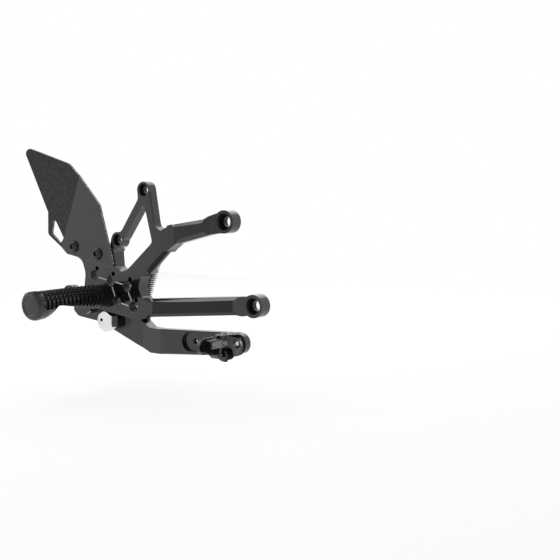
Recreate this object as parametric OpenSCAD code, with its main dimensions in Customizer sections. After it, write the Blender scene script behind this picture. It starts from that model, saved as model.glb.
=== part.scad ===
// Brake side rear set of a motorbike: bracket plate, toothed footpeg, heel guard and sprung brake lever.
// X points forward on the bike, Z up, and the footpeg points out along -Y.
// The origin is the axis of the lower frame bolt where the bracket's back face meets the frame.

/* [Layout] */
// Distance from the lower frame bolt back to the lever's pivot
pivot_back = 188; // [180:1:196]
// Height of the upper frame bolt above the lower one
bolt_rise = 67; // [62:1:72]
// Height of the heel guard's top above the lever's pivot
guard_rise = 138.2; // [126:0.1:148]
// Distance of the toe peg's mount behind the lower frame bolt
toe_back = 23.2; // [16:0.1:30]

/* [Bracket] */
// Thickness of the bracket's centre
plate_t = 12; // [10:0.5:14]
// Thickness at the two frame bolt bosses
arm_t = 11; // [9:0.5:12]
// Distance of the master cylinder ears' outer face behind the centre's outer face
ear_step = 1; // [0.5:0.5:2]
// Thickness of the master cylinder ears
ear_t = 8.5; // [6:0.5:9]
// Outer radius of a frame bolt boss
boss_r = 9.5; // [9:0.1:11]
// Clearance hole radius for an M8 bolt
m8_r = 4.25; // [4.1:0.05:4.5]
// Radius of the recess for an M8 cap head
head_recess_r = 6.8; // [6.6:0.1:7.2]
// Depth of that recess in a frame bolt boss
head_recess_depth = 6; // [4:0.5:7]
// Radius of a master cylinder ear
ear_r = 7; // [6.5:0.1:8]
// Clearance hole radius for an M6 bolt
m6_r = 3.3; // [3.15:0.05:3.5]
// Radius of the recess for an M6 cap head
small_recess_r = 5.2; // [5.1:0.1:5.6]
// Depth of that recess in a master cylinder ear
small_recess_depth = 4; // [3:0.5:5]
// Width of the bevels along the arms
arm_bevel = 3; // [1:0.1:3.5]
// Width of the bevel under the centre, beside the bay
hub_bevel = 3.3; // [2:0.1:4]

/* [Footpeg positions] */
// Spacing of the position holes along a row
hole_pitch = 19.8; // [19.5:0.1:20.2]
// Spacing between the two rows
row_pitch = 19.2; // [19:0.1:19.6]
// Radius of a dowel hole
dowel_r = 2; // [1.8:0.05:2.2]
// Depth of the bolt head recess in the back of each position hole
peg_head_recess = 5.4; // [5.2:0.1:6]

/* [Footpeg] */
// Radius of the toothed bar
peg_r = 10.75; // [10:0.25:11.5]
// Length of the footpeg from the bracket to its end
peg_l = 82.2; // [80:0.2:84]
// Radius of the round end knob
knob_r = 12.9; // [12.5:0.1:13.2]
// Length of the knob, with its domed end
knob_l = 6; // [5:0.2:8]
// Length of the domed end
knob_dome_l = 4; // [3:0.2:5]
// Length of the plain neck beside the bracket
neck_l = 7.5; // [6:0.5:9]
// Distance from one rib to the next
rib_pitch = 4.65; // [4.5:0.05:5]
// Depth of the gap between two ribs
rib_depth = 1.8; // [1:0.1:2]
// Rows of pyramid teeth on top
tooth_rows = 7; // [4:1:8]
// Depth of the grooves between the rows
tooth_depth = 1.6; // [1:0.1:1.8]

/* [Heel guard] */
// Thickness of the guard
guard_t = 2; // [1.5:0.1:2.5]
// Angle that the rear half is folded outwards
guard_fold = 10; // [6:1:14]

/* [Brake lever] */
// Gap between the bracket's back and the lever
lever_gap = 1; // [0.8:0.1:1.2]
// Thickness of the lever
lever_t = 11; // [10:0.5:12]
// How far the front half steps outwards
lever_step = 3; // [2:0.5:4]
// Thickness of the front half
lever_front_t = 8; // [7:0.5:9]
// Radius of the pivot bolt's shoulder
pivot_r = 7.5; // [7:0.1:8]
// Running fit of the pivot and the pins, on radius
running_gap = 0.05; // [0.03:0.01:0.08]
// Across corners radius of the stop cam
cam_r = 9.6; // [9:0.1:9.8]

/* [Return spring] */
// Radius of the spring's wire
wire_r = 0.65; // [0.5:0.05:0.75]
// Mean radius of the spring's coils
coil_r = 3.2; // [2.9:0.1:3.4]
// Number of turns
coil_turns = 22; // [16:1:24]

/* [Toe peg] */
// Radius of the toe peg's round mount
toe_mount_r = 9.6; // [9.2:0.1:10]
// Radius of the fold pin
toe_pin_r = 2; // [1.8:0.1:2.2]
// Width of the toe peg along the bike
toe_w = 10; // [9:0.5:11]

/* [Threads] */
// Radius of an M8 thread, drawn plain
m8_thread_r = 4; // [3.9:0.05:4.1]
// Radius of an M5 thread, drawn plain
m5_thread_r = 2.5; // [2.4:0.05:2.6]
// Clearance of a screw in its thread, on radius
thread_gap = 0.05; // [0.02:0.01:0.08]

/* [Hidden] */
$fn = 48;
eps = 0.01;
black = [0.10, 0.10, 0.11];
soft_black = [0.16, 0.16, 0.17];
silver = [0.82, 0.83, 0.84];

// Axes of the round features, as [x, z]
pivot = [-pivot_back, -9];
lower_boss = [0, 0];
upper_boss = [-28.9, bolt_rise];
low_ear = pivot + [42.4, 57.5];
top_ear = low_ear + [30.9, 43.8];
screw_rear = pivot + [-8, 50.1];
screw_front = pivot + [21.1, 44.7];
arm_front = -arm_t;
plate_front = -plate_t;
ear_front = plate_front + ear_step;
ear_back = ear_front + ear_t;

// Position holes: three in the upper row and three in the lower row, on a leaning grid
row_angle = -11;
column_angle = -69;
row_step = hole_pitch * [cos(row_angle), sin(row_angle)];
column_step = row_pitch * [cos(column_angle), sin(column_angle)];
first_hole = pivot + [15.3, 25.2];
position_holes = [for (j = [0, 1]) for (i = [0:2]) first_hole + i * row_step + j * column_step];
peg_axis = position_holes[3];
hole_chamfer = 0.4;

// Dowel beside the footpeg's bolt, its hole drilled close to the edge of the footpeg's neck
neck_r = peg_r - 0.95;
dowel_wall = 0.7;
dowel_angle = 62.4;
dowel_offset = (neck_r - dowel_r - dowel_wall) * [cos(dowel_angle), sin(dowel_angle)];
dowel_hole_l = 6;
dowel_fit = 0.02;

// Footpeg bolt
peg_bolt_depth = 26;
peg_bolt_head_r = head_recess_r - 0.3;

// Lever planes
lever_back = lever_gap + lever_t;
lever_front_half = lever_gap - lever_step;
lever_eye = pivot + [-34, 4.4];
lever_eye_r = 7.7;
lever_end = [-toe_back, -33.6];
lever_end_r = 8.8;
recess_depth = 3;
recess_r = 8.2;
recess_rear = lever_end + [-49.5, -2.6];
recess_front = lever_end + [-4.8, -0.3];
spare_hole = lever_end + [-45.4, -2];
pivot_head_r = 11;
pivot_head_t = 5.5;
bush_r = 9.5;
cam_axis = pivot + [26.6, -15.3];
cam_screw_axis = cam_axis + [-3.8, 1];
cam_len = 8;
cam_boss_r = 8;

// Return spring ends, as [x, z], in the plane spring_y
spring_top = pivot + [76.5, 46];
spring_low = pivot + [56.7, -4.8];
spring_y = 6;
post_r = 2.2;
post_rim = 1.1;
spigot_r = 1.6;
hook_r = post_r + wire_r + 0.25;

// Toe peg, its heights measured from the mount's centre
toe_centre = lever_end + [0, -0.2];
toe_screw_axis = toe_centre + [5, 1.6];
toe_plate_t = 4;
toe_step = 0.8;
toe_front = lever_front_half - toe_plate_t;
toe_pin_axis = [toe_centre[0] - 4.4, toe_front - 5.4];
toe_low = -0.4;
toe_high = 5.9;
toe_lug_t = 3.2;
toe_root_r = 4.2;
stub_axis = toe_centre + [-5, -7.5];
stub_r = 5.3;
stub_front = toe_front - 8.6;
lug_gap = 0.3;

// Draws a flat shape given in X and Z as a slab from y0 to y1
module slab(y0, y1) {
    translate([0, y1, 0]) rotate([90, 0, 0]) linear_extrude(y1 - y0) children();
}

// A round bar along Y from y0 to y1
module bar(at, r, y0, y1) {
    translate([at[0], y1, at[1]]) rotate([90, 0, 0]) cylinder(r = r, h = y1 - y0);
}

// A cone along Y, radius r0 at y0 and r1 at y1
module cone(at, r0, r1, y0, y1) {
    translate([at[0], y1, at[1]]) rotate([90, 0, 0]) cylinder(r1 = r1, r2 = r0, h = y1 - y0);
}

// A hexagonal bar along Y
module hex_bar(at, r, y0, y1, turn = 0) {
    translate([at[0], y1, at[1]]) rotate([90, 0, 0]) rotate([0, 0, turn]) cylinder(r = r, h = y1 - y0, $fn = 6);
}

function unit(v) = v / norm(v);

// The arc that rounds the corner p between its neighbours a and b with radius r
function corner_arc(p, a, b, r, steps = 5) =
    let (u = unit(a - p), v = unit(b - p), half = acos(u * v) / 2,
         start = p + u * r / tan(half), centre = p + unit(u + v) * r / sin(half),
         a0 = atan2(start[1] - centre[1], start[0] - centre[0]),
         turn = 180 - 2 * half,
         side = (u[0] * v[1] - u[1] * v[0]) > 0 ? -1 : 1)
    [for (i = [0:steps]) centre + r * [cos(a0 + side * turn * i / steps), sin(a0 + side * turn * i / steps)]];

// An outline from [x, z, radius] corners
function rounded(pts) = [for (i = [0:len(pts) - 1])
    let (n = len(pts), p = [pts[i][0], pts[i][1]],
         a = [pts[(i + n - 1) % n][0], pts[(i + n - 1) % n][1]], b = [pts[(i + 1) % n][0], pts[(i + 1) % n][1]])
    each (pts[i][2] > 0 ? corner_arc(p, a, b, pts[i][2]) : [p])];

// Corners measured from a point, such as the pivot
function from(at, pts) = [for (p = pts) [at[0] + p[0], at[1] + p[1], p[2]]];

// A 45 degree bevel cutter of width w along the edge from p to q on the plane y, with slanted ends
module edge_bevel(p, q, w, y) {
    length = norm(q - p);
    angle = atan2(q[1] - p[1], q[0] - p[0]);
    translate([p[0], y, p[1]]) rotate([0, -angle, 0]) intersection() {
        translate([length / 2, 0, 0]) rotate([45, 0, 0]) cube([length, w * sqrt(2), w * sqrt(2)], center = true);
        slab(-w - 1, w + 1) polygon([[0, 0], [w, w], [length - w, w], [length, 0], [length - w, -w], [w, -w]]);
    }
}

// Centre of the bracket with the guard's tab and the pivot ear
hub_outline = from(pivot, [[1.5, 7, 0], [4.4, 26.5, 14], [0.5, 38, 8], [-16, 45.5, 5], [-15, 58, 6], [30, 52.5, 5],
    [33.5, 50.2, 2], [45, 49, 2], [58, 35, 0], [80.9, 54.6, 0], [92.2, 66.9, 3], [100.8, 70.9, 5], [108, 72.1, 0],
    [108, 56, 0], [101.8, 51.4, 4], [78, 29.4, 5], [70.8, 27, 6], [66.6, 17.6, 9], [72.2, 6.7, 7],
    [84, 7.8, 0], [82, -6.7, 0], [66.3, -11.4, 2], [9, -3.2, 4]]);
hub_edge_low = pivot + [77, 28.5];
hub_edge_high = pivot + [100, 49.7];

// Relief in the back of the centre along that edge
relief_front = -5.6;
hub_relief = from(pivot, [[81.5, 28.6, 0], [101, 46.6, 0], [94.9, 53.2, 2], [75.4, 35.2, 2]]);

// Window between the two legs of the master cylinder mount
window_outline = from(pivot, [[73.8, 90.5, 2.2], [82.1, 58, 2.5], [80.9, 54.6, 1.5], [54.8, 32.4, 3], [48, 29.9, 2],
    [41, 33.8, 3], [40, 46.5, 2], [44, 52, 0], [51.5, 59.5, 0]]);

ear_outline = from(pivot, [[80.2, 103, 0], [85.8, 70.3, 6], [92.2, 66.9, 0], [92, 59, 0], [58, 31, 0], [36, 35, 0],
    [32.5, 47, 4], [35.5, 59, 0], [42, 64.4, 0], [46.5, 64.2, 6], [67, 93.4, 5], [66.4, 101, 0]]);

upper_arm_outline = concat(from(pivot, [[100, 71.6, 0], [103.5, 72.4, 0]]),
    from(upper_boss, [[-20, 2, 12], [-15.3, 4.4, 12], [-7.1, 6.8, 0], [2.9, 0, 0], [-2.1, -9.2, 0], [-15.4, -11, 12]]),
    from(pivot, [[108.7, 56.2, 6], [101.8, 51.4, 0], [100, 50, 0]]));

lower_arm_outline = concat(from(pivot, [[70, 7.2, 0], [81, 8.2, 0]]),
    from(lower_boss, [[-15.7, 6.6, 10], [-11.5, 7.2, 10], [-6, 7.6, 0], [2, 0, 0], [-5.5, -8, 0], [-11.2, -8.9, 8],
        [-15.8, -8.4, 8]]),
    from(pivot, [[75, -8.2, 0], [66, -11.4, 2]]));

// Arm whose outer face slopes from the centre's to the boss's, between from_x and to_x
module sloped_arm(from_x, to_x) {
    reach = 100;
    intersection() {
        slab(plate_front, 0) children();
        translate([0, 0, -reach]) linear_extrude(2 * reach)
            polygon([[from_x, 0], [from_x, plate_front], [from_x + 3, plate_front], [to_x, arm_front], [reach, arm_front],
                [reach, 0]]);
    }
}

module bracket_body() {
    difference() {
        union() {
            slab(plate_front, 0) polygon(rounded(hub_outline));
            bar(pivot, pivot_head_r, plate_front, 0);
            slab(ear_front, ear_back) polygon(rounded(ear_outline));
            sloped_arm(pivot[0] + 100, upper_boss[0] - 15) polygon(rounded(upper_arm_outline));
            sloped_arm(pivot[0] + 64, lower_boss[0] - 20) polygon(rounded(lower_arm_outline));
        }
        slab(plate_front - 1, 1) polygon(rounded(window_outline));
    }
    for (at = [lower_boss, upper_boss]) bar(at, boss_r, arm_front, 0);
    for (at = [top_ear, low_ear]) bar(at, ear_r, ear_front, ear_back);
}

module main_bracket() color(black) {
    difference() {
        bracket_body();
        for (at = [lower_boss, upper_boss]) {
            bar(at, m8_r, arm_front - 1, 1);
            bar(at, head_recess_r, arm_front - 1, arm_front + head_recess_depth);
        }
        for (at = [top_ear, low_ear]) {
            bar(at, m6_r, plate_front - 1, 1);
            bar(at, small_recess_r, plate_front - 1, ear_front + small_recess_depth);
        }
        for (at = position_holes) {
            bar(at, m8_r, plate_front - 1, 1);
            bar(at, head_recess_r, -peg_head_recess, 1);
            cone(at, m8_r + 1 + hole_chamfer, m8_r, plate_front - 1, plate_front + hole_chamfer);
            bar(at + dowel_offset, dowel_r, plate_front - 1, plate_front + dowel_hole_l);
        }
        bar(pivot, m8_thread_r, plate_front - 1, 1);
        for (at = [screw_rear, screw_front]) bar(at, m5_thread_r, plate_front - 1, 1);
        bar(spring_top, 2, -6, 1);
        slab(relief_front, 1) polygon(rounded(hub_relief));
        edge_bevel(hub_edge_low, hub_edge_high, hub_bevel, plate_front);
        edge_bevel(pivot + [105, 72.6], upper_boss + [-19.8, 2], arm_bevel, arm_front - 0.3);
        edge_bevel(pivot + [110, 56.5], upper_boss + [-15.9, -11.1], arm_bevel + 0.5, arm_front - 0.3);
        edge_bevel(pivot + [80, 8.1], lower_boss + [-15.5, 6.6], arm_bevel, arm_front - 0.4);
        edge_bevel(pivot + [76, -8.1], lower_boss + [-15.7, -8.4], arm_bevel, arm_front - 0.4);
        edge_bevel(pivot + [80.7, 100], pivot + [85.7, 72.3], 0.8, ear_front);
    }
}

// Heel guard: a sheet folded along one line, cut to its outline
guard_back = plate_front;
fold_low = pivot + [-19.3, 59.4];
fold_top = pivot + [-0.3, 109.6];
guard_outline = from(pivot, [[-51.4, guard_rise, 4], [-9.7, guard_rise - 14, 4], [24.6, guard_rise - 50.2, 6],
    [40.8, 33, 3], [-16.4, 43.2, 3], [-37, 60.5, 4], [-35.4, 80.5, 5], [-56.4, guard_rise - 3.6, 4]]);
guard_window = from(pivot, [[-29.2, 76, 1.6], [-33, 61.6, 1.6], [-24, 52.2, 1.6], [-20.2, 57.4, 1.6]]);

// The folded sheet, long enough to cut the guard from
module guard_sheet() {
    reach = 120;
    lift = reach * tan(guard_fold);
    skin = guard_t / cos(guard_fold);
    translate([fold_low[0], guard_back, fold_low[1]])
        rotate([0, atan2(fold_top[0] - fold_low[0], fold_top[1] - fold_low[1]), 0])
            linear_extrude(2 * reach, center = true)
                polygon([[reach, 0], [0, 0], [-reach, -lift], [-reach, -lift - skin], [0, -guard_t], [reach, -guard_t]]);
}

module heel_guard() color(soft_black) {
    difference() {
        intersection() {
            guard_sheet();
            slab(guard_back - 30, guard_back + 5) polygon(rounded(guard_outline));
        }
        slab(guard_back - 30, guard_back + 5) polygon(rounded(guard_window));
        for (at = [screw_rear, screw_front]) bar(at, m5_thread_r + 0.25, guard_back - 10, guard_back + 1);
    }
}

// Button head screw of the guard, with a star socket drawn as a hexagon
module guard_screw(at) {
    head_h = 2.8;
    head_r = 5.5;
    face = guard_back - guard_t;
    difference() {
        union() {
            bar(at, head_r, face - 1, face);
            cone(at, head_r - 2, head_r, face - head_h, face - 1);
            bar(at, m5_thread_r - thread_gap, face - eps, plate_front + 9);
        }
        hex_bar(at, 1.9, face - head_h - 1, face - 1);
    }
}

module guard_screw_rear() color(black) guard_screw(screw_rear);
module guard_screw_front() color(black) guard_screw(screw_front);

// Outline of half the footpeg's bar, as [radius, distance from the bracket]: a plain neck, then the ribs
knob_start = peg_l - knob_l;
rib_w = 1.8;
rib_slope = 0.6;
rib_count = floor((knob_start - neck_l - 1) / rib_pitch);
ribs = [for (i = [0:rib_count]) let (s = neck_l + 1.2 + i * rib_pitch)
    each [[peg_r, s], [peg_r, s + rib_w], [peg_r - rib_depth, s + rib_w + rib_slope],
        [peg_r - rib_depth, min(s + rib_pitch - rib_slope, knob_start)]]];

// The knob sits a little below the bar's axis and its edges are rounded
knob_drop = 0.6;
face_r = 8.75;
knob_dome = [for (i = [0:6]) let (a = i * 15)
    [face_r + (knob_r - face_r) * cos(a), peg_l - knob_dome_l + knob_dome_l * sin(a)]];

// Turns an outline around the footpeg's axis, lowered by drop
module turned(drop) {
    translate([peg_axis[0], plate_front, peg_axis[1] - drop]) rotate([90, 0, 0]) rotate_extrude() children();
}

under_cut_end = 71.5;
// Side view of what is milled off the underside, as [distance from the bracket, height]
under_cut = [[neck_l, -30, 0], [neck_l, -10.9, 0], [31, -6.6, 20], [56, -2.2, 12], [60.5, -2.8, 4],
    [under_cut_end, -13.7, 0], [under_cut_end, -30, 0]];
flare_start = 55;
flare_top = -4;
// Height of the flat milled on top of the knob
knob_top = 11.1;
tooth_span = 130;
knob_groove_angle = 30;

// A V groove along the bar, turned by a around its axis, from s0 to s1 out from the bracket
module tooth_groove(a, s0, s1) {
    w = 4.5;
    translate([peg_axis[0], plate_front - s0, peg_axis[1]]) rotate([0, a, 0]) translate([0, 0, peg_r - tooth_depth])
        rotate([90, 0, 0]) linear_extrude(s1 - s0) polygon([[0, 0], [w, w], [-w, w]]);
}

module footpeg() color(black) {
    difference() {
        union() {
            turned(0) polygon(concat([[0, 0], [neck_r, 0], [neck_r, neck_l], [peg_r - 1, neck_l]], ribs, [[0, knob_start]]));
            turned(knob_drop) polygon(concat([[0, knob_start - 1], [knob_r - 0.7, knob_start - 0.7], [knob_r, knob_start]],
                knob_dome, [[face_r - 0.9, peg_l - 0.6], [0, peg_l - 0.3]]));
            intersection() {
                turned(knob_drop) polygon([[0, flare_start], [peg_r - 1.5, flare_start], [knob_r - 0.3, under_cut_end],
                    [knob_r - 0.3, knob_start - 0.5], [0, knob_start - 0.5]]);
                translate([peg_axis[0] - 20, plate_front - peg_l, peg_axis[1] + flare_top - 20]) cube([40, peg_l, 20]);
            }
        }
        translate([peg_axis[0] - 20, plate_front, peg_axis[1]]) rotate([90, 0, 90])
            linear_extrude(40) mirror([1, 0]) polygon(rounded(under_cut));
        translate([peg_axis[0] - 20, plate_front - peg_l - 1, peg_axis[1] + knob_top]) cube([40, knob_l + 3, 5]);
        for (i = [0:tooth_rows]) let (a = -tooth_span / 2 + tooth_span * i / tooth_rows)
            tooth_groove(a, neck_l, abs(a) < knob_groove_angle ? peg_l + 1 : knob_start);
        bar(peg_axis, m8_thread_r, plate_front - peg_bolt_depth - 3, plate_front + 1);
        bar(peg_axis + dowel_offset, dowel_r, plate_front - dowel_hole_l, plate_front + 1);
    }
}

module footpeg_bolt() color(black) {
    difference() {
        union() {
            bar(peg_axis, m8_thread_r - thread_gap, plate_front - peg_bolt_depth, -peg_head_recess + 1);
            bar(peg_axis, peg_bolt_head_r, -peg_head_recess, -0.2);
        }
        hex_bar(peg_axis, 2.9, -3.2, 1);
    }
}

module footpeg_dowel() color(silver) bar(peg_axis + dowel_offset, dowel_r - dowel_fit,
    plate_front - dowel_hole_l + 0.2, plate_front + dowel_hole_l - 0.2);

module pivot_bolt() color(black) {
    difference() {
        union() {
            bar(pivot, m8_thread_r - thread_gap, plate_front + 0.5, eps);
            bar(pivot, pivot_r, 0, lever_back + 1);
            bar(pivot, pivot_head_r, lever_back + 1, lever_back + pivot_head_t);
            cone(pivot, pivot_head_r, pivot_head_r - 1, lever_back + pivot_head_t - eps, lever_back + pivot_head_t + 1);
        }
        hex_bar(pivot, 4.6, lever_back + 2, lever_back + 8);
    }
}

washer_gap = 0.05;
module pivot_ring(r, y0, y1) {
    difference() {
        bar(pivot, r, y0, y1);
        bar(pivot, pivot_r + running_gap, y0 - 1, y1 + 1);
    }
}

module pivot_washer_inner() color(silver) pivot_ring(pivot_head_r, 0, lever_gap - washer_gap);
module pivot_washer_outer() color(silver) pivot_ring(pivot_head_r, lever_back + washer_gap, lever_back + 1);
module pivot_bush() color([0.72, 0.55, 0.30]) pivot_ring(bush_r, lever_gap, lever_back);

// Side view of the lever: a straight rear half and a front half that steps outwards
module lever_side_view() {
    front_back = lever_front_half + lever_front_t;
    bend_rear = pivot[0] + 60;
    bend_front = pivot[0] + 83;
    translate([0, 0, -100]) linear_extrude(200)
        polygon([[lever_eye[0] - 20, lever_gap], [bend_rear, lever_gap], [bend_front, lever_front_half],
            [lever_end[0] + 20, lever_front_half], [lever_end[0] + 20, front_back], [bend_front, front_back],
            [bend_rear, lever_back], [lever_eye[0] - 20, lever_back]]);
}

lever_outline = concat(from(pivot, [[-31, 12, 0], [-23.5, 7.5, 8], [-11, 7.5, 5], [-2, 15.8, 0], [14, 9.5, 8],
        [69, -19.1, 6], [83.3, -18.8, 0]]),
    from(lever_end, [[-0.8, 9, 0], [5.2, 0.6, 0], [1.2, -8.6, 0], [-36.7, -12.7, 0]]),
    from(pivot, [[85.4, -40.6, 6], [70, -41, 6], [50.7, -34.2, 0], [26.7, -24.8, 10], [5, -17.8, 10], [-19, -15, 8],
        [-26.7, -7.6, 4], [-38, -1.6, 0]]));
spring_lug = from(pivot, [[46, -8, 0], [51.8, 0.2, 3], [60.5, 0.2, 2.5], [60.5, -18, 0]]);

eye_hole_r = 4;
eye_front = 4.5;

module brake_lever() color(black) {
    recess_turn = atan2(recess_front[1] - recess_rear[1], recess_front[0] - recess_rear[0]);
    difference() {
        union() {
            intersection() {
                slab(lever_front_half - 1, lever_back + 1) {
                    polygon(rounded(lever_outline));
                    translate(lever_eye) circle(r = lever_eye_r);
                    translate(pivot) circle(r = 16);
                    translate(lever_end) circle(r = lever_end_r);
                }
                lever_side_view();
            }
            slab(spring_y + 1.6, lever_back - 1) polygon(rounded(spring_lug));
            bar(cam_axis, cam_boss_r, plate_front + cam_len, lever_gap + eps);
        }
        bar(lever_eye, eye_hole_r, -1, lever_back + 1);
        slab(-1, eye_front) translate([lever_eye[0] - 10, lever_eye[1] - 14]) square([20, 28]);
        bar(pivot, bush_r, -1, lever_back + 1);
        bar(cam_screw_axis, m5_thread_r, plate_front + cam_len - 1, lever_back - 2);
        bar(spring_low, spigot_r, spring_y, lever_back);
        hull() for (at = [recess_rear, recess_front]) bar(at, recess_r, lever_front_half - 1,
            lever_front_half + recess_depth);
        bar(spare_hole, m5_thread_r, -5, lever_back);
        bar(toe_screw_axis, m5_thread_r, lever_front_half, lever_back);
        edge_bevel(pivot + [83, -18.8], lever_end + [-1.8, 8.9], 0.5, lever_front_half);
        edge_bevel(pivot + [85.4, -40.6], lever_end + [-36.8, -12.7], 1, lever_front_half);
    }
}

module stop_cam() color(silver) {
    difference() {
        intersection() {
            hex_bar(cam_axis, cam_r, plate_front, plate_front + cam_len, 90);
            union() {
                bar(cam_axis, cam_r, plate_front + 1, plate_front + cam_len);
                cone(cam_axis, cam_r - 1, cam_r, plate_front, plate_front + 1 + eps);
            }
        }
        bar(cam_screw_axis, m5_thread_r + thread_gap, plate_front - 1, plate_front + cam_len + 1);
        bar(cam_screw_axis, 3.9, plate_front - 1, plate_front + 3);
    }
}

module stop_cam_screw() color(silver) {
    difference() {
        union() {
            bar(cam_screw_axis, 3.8, plate_front + 0.2, plate_front + 3);
            bar(cam_screw_axis, m5_thread_r - thread_gap, plate_front + 2, lever_back - 3);
        }
        hex_bar(cam_screw_axis, 1.7, plate_front - 1, plate_front + 2);
    }
}

module spring_post_upper() color(silver) {
    bar(spring_top, 1.95, -5.5, eps);
    bar(spring_top, post_r, 0, spring_y + 2.2);
    bar(spring_top, post_r + post_rim, spring_y + 1.6, spring_y + 3);
    bar(spring_top, post_r + post_rim, 0, 1.4);
}

module spring_post_lower() color(silver) {
    bar(spring_low, post_r, spring_y - 2.2, spring_y + 1.6);
    bar(spring_low, post_r + post_rim, spring_y - 3, spring_y - 1.6);
    bar(spring_low, spigot_r - dowel_fit, spring_y, lever_back - 1.2);
}

// The spring's wire as one path in its own frame, with Z along the spring: lower hook, coils, upper hook
spring_len = norm(spring_top - spring_low);
spring_dir = unit(spring_top - spring_low);
hook_gap = hook_r + 3.2;
coil_len = spring_len - 2 * hook_gap;
turn_steps = 10;
wire_sides = 6;
hook_arc = [for (i = [0:7]) let (a = 35 + i * 41) [hook_r * sin(a), 0, hook_r * cos(a)]];
coil_path = [for (i = [0:coil_turns * turn_steps]) let (a = 360 * i / turn_steps)
    [coil_r * cos(a), coil_r * sin(a), hook_gap + coil_len * i / (coil_turns * turn_steps)]];
spring_path = concat(hook_arc, [[0.2, 0, hook_r + 1.2]], coil_path,
    [[0.2, 0, spring_len - hook_r - 1.2]], [for (i = [7:-1:0]) [hook_arc[i][0], 0, spring_len - hook_arc[i][2]]]);

function path_dir(p, i) = unit(p[min(i + 1, len(p) - 1)] - p[max(i - 1, 0)]);
function square_to(v, t) = unit(v - (v * t) * t);

// A tube of radius r swept along the points p, its rings turned as little as possible from one to the next
module wire(p, r, sides) {
    n = len(p);
    ups = [for (i = 0, u = square_to([0, 1, 0], path_dir(p, 0)); i < n;
        i = i + 1, u = square_to(u, path_dir(p, min(i, n - 1)))) u];
    points = [for (i = [0:n - 1]) let (side = cross(path_dir(p, i), ups[i]))
        for (k = [0:sides - 1]) p[i] + r * (side * cos(360 * k / sides) + ups[i] * sin(360 * k / sides))];
    walls = [for (i = [0:n - 2]) for (k = [0:sides - 1]) let (m = (k + 1) % sides)
        each [[i * sides + k, (i + 1) * sides + k, i * sides + m], [i * sides + m, (i + 1) * sides + k, (i + 1) * sides + m]]];
    caps = [[for (k = [0:sides - 1]) k], [for (k = [sides - 1:-1:0]) (n - 1) * sides + k]];
    polyhedron(points = points, faces = concat(walls, caps));
}

module return_spring() color(silver) {
    lean = atan2(spring_dir[0], spring_dir[1]);
    translate([spring_low[0], spring_y, spring_low[1]]) rotate([0, lean, 0]) wire(spring_path, wire_r, wire_sides);
}

// Round mount bolted to the lever's end, with a plate above and a stub below that hold the fold pin
module toe_mount() color(black) {
    difference() {
        union() {
            bar(toe_centre, toe_mount_r, toe_front, lever_front_half);
            bar(toe_centre, toe_mount_r - 1.2, toe_front - toe_step, toe_front + eps);
            bar(recess_front, recess_r - 0.3, lever_front_half - eps, lever_front_half + recess_depth);
            translate([0, 0, lug_low]) linear_extrude(toe_lug_t) {
                translate([toe_pin_axis[0], toe_pin_axis[1] - 5]) circle(r = 5);
                polygon([[toe_pin_axis[0] - 5, toe_pin_axis[1] - 5], [toe_pin_axis[0] + 5, toe_pin_axis[1] - 5],
                    [toe_pin_axis[0] + 11, toe_front + 1], [toe_pin_axis[0] - 1, toe_front + 1]]);
            }
            bar(stub_axis, stub_r, stub_front, toe_front + 1);
            cone(stub_axis, stub_r - 1, stub_r, stub_front - 1, stub_front + eps);
        }
        translate([toe_pin_axis[0], toe_pin_axis[1], stub_axis[1] - stub_r - 1]) cylinder(r = toe_pin_r, h = 30);
        bar(toe_screw_axis, m5_thread_r + 0.1, toe_front - 3, lever_front_half + recess_depth + 1);
        bar(toe_screw_axis, 3.9, toe_front - 3, toe_front + 1.5);
    }
}

module toe_mount_screw() color(silver) {
    difference() {
        union() {
            bar(toe_screw_axis, 3.8, toe_front - 1.5, toe_front + 1.5);
            bar(toe_screw_axis, m5_thread_r - thread_gap, toe_front, lever_front_half + lever_front_t - 0.5);
        }
        hex_bar(toe_screw_axis, 1.8, toe_front - 3, toe_front + 0.5);
    }
}

// The toe peg in side view, as [distance outwards from the pin, height]: a block with a hoop in front of it
toe_side = [[0, toe_low, 0], [0, toe_high, 0], [6, toe_high, 0], [20, toe_high, 3], [28.5, 6.1, 5], [32.2, 2.8, 3],
    [32.5, -4.4, 3], [26, -5.2, 2], [20, -5.2, 3], [13, -9.2, 3], [9.6, -10.2, 1.6], [8, -7.2, 1], [8, toe_low, 0]];
toe_hole = [[10.5, -1.6, 1], [14.5, -0.8, 0.6], [15, 2.6, 0.8], [26, 2.6, 2], [29, 0.8, 1.5], [29, -1.8, 1],
    [21, -2.6, 2], [14, -5.8, 1], [10.5, -7.2, 0.8]];
knurl_pitch = 2.2;
knurl_depth = 0.75;

// V grooves across both sides of the toe peg's block
module knurl() {
    middle = (toe_low + toe_high) / 2;
    for (side = [-1, 1]) translate([side * toe_w / 2, 0, 0]) {
        for (i = [0:5]) translate([0, -2 - i * knurl_pitch, middle]) rotate([0, 0, 45])
            cube([knurl_depth * sqrt(2), knurl_depth * sqrt(2), toe_high - toe_low + 2], center = true);
        for (z = [middle - 1.1, middle + 1.1]) translate([0, -7, z]) rotate([0, 45, 0])
            cube([knurl_depth * sqrt(2), 15.4, knurl_depth * sqrt(2)], center = true);
    }
}

module toe_peg() color(black) translate([toe_pin_axis[0], toe_pin_axis[1], toe_centre[1]]) {
    difference() {
        union() {
            translate([-toe_w / 2, 0, 0]) rotate([90, 0, 90]) linear_extrude(toe_w) mirror([1, 0]) difference() {
                polygon(rounded(toe_side));
                polygon(rounded(toe_hole));
            }
            translate([0, 0, toe_low]) cylinder(r = toe_root_r, h = toe_high - toe_low);
        }
        translate([0, 0, toe_low - 8]) cylinder(r = toe_pin_r + running_gap, h = 20);
        difference() {
            translate([-20, -4, toe_low - 10]) cube([40, 30, 24]);
            translate([0, 0, toe_low - 11]) cylinder(r = toe_root_r, h = 26);
        }
        knurl();
    }
}

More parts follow.
